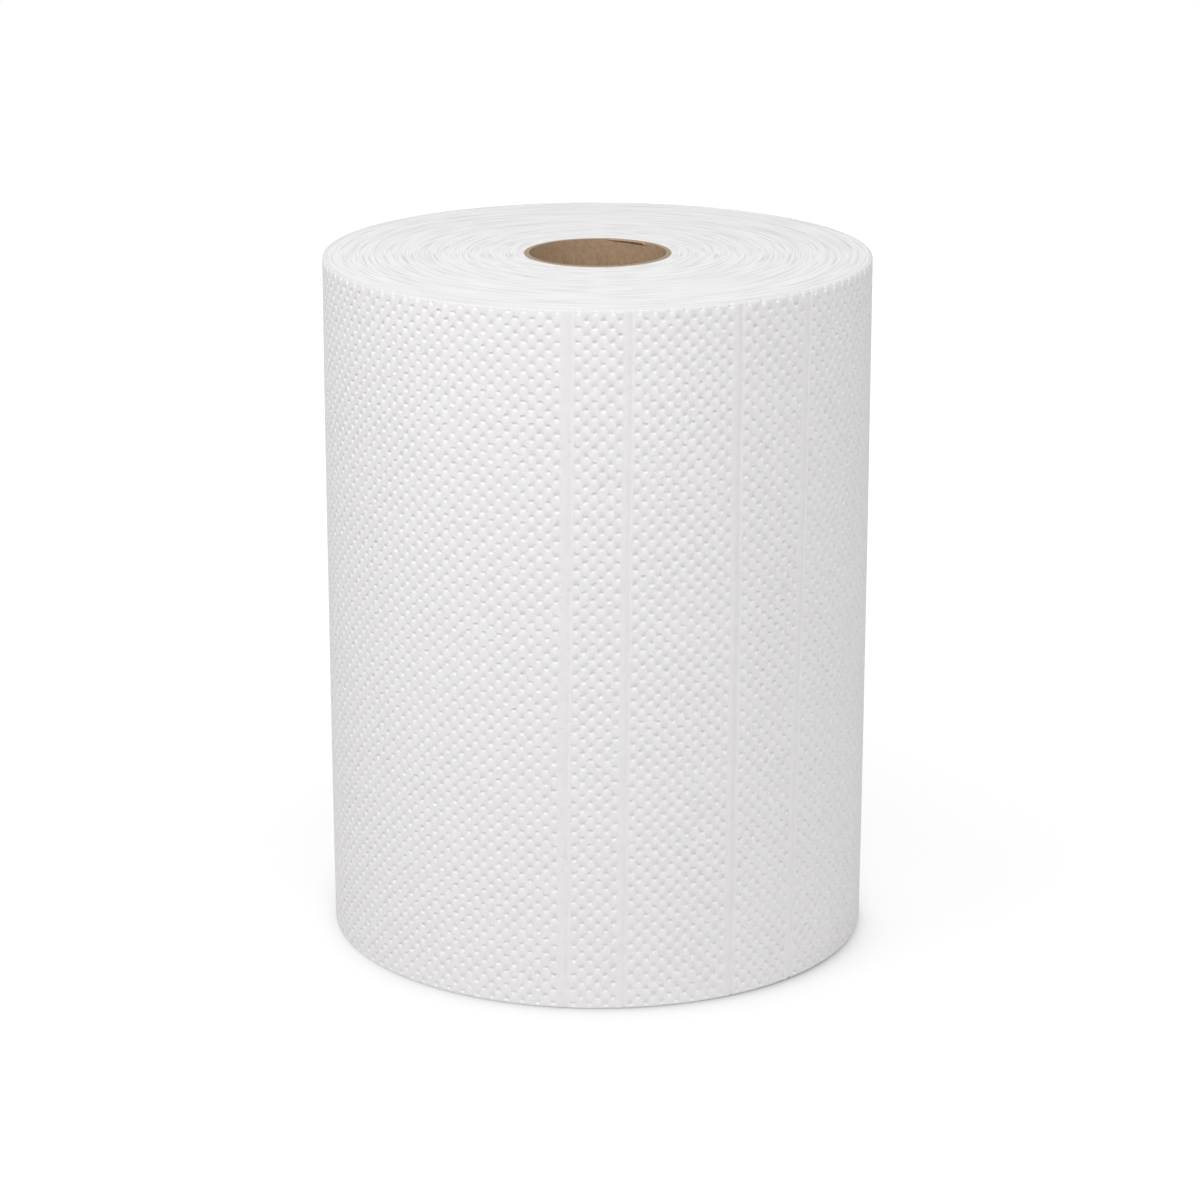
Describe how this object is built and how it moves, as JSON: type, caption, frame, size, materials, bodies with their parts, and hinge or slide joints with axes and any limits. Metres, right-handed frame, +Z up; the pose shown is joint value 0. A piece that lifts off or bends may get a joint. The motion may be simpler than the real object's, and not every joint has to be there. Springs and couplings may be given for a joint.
{
  "type": "paper towel roll",
  "caption": "White embossed paper towel wound on a spiral cardboard core, standing on its cut end, with faint pressed lines up its side and an open bore.",
  "frame": {"origin": "centre of the roll's lower cut end, on the core's axis", "axes": "+Z up the core's axis, -Y towards the front, where the pressed lines are, +X to the right of someone facing that front"},
  "size_m": [0.1596, 0.1598, 0.203],
  "materials": {
    "tissue": "matte",
    "kraft_board": "matte"
  },
  "bodies": {
    "root": {"paper_roll": "tissue", "cardboard_core": "kraft_board"}
  },
  "joints": []
}
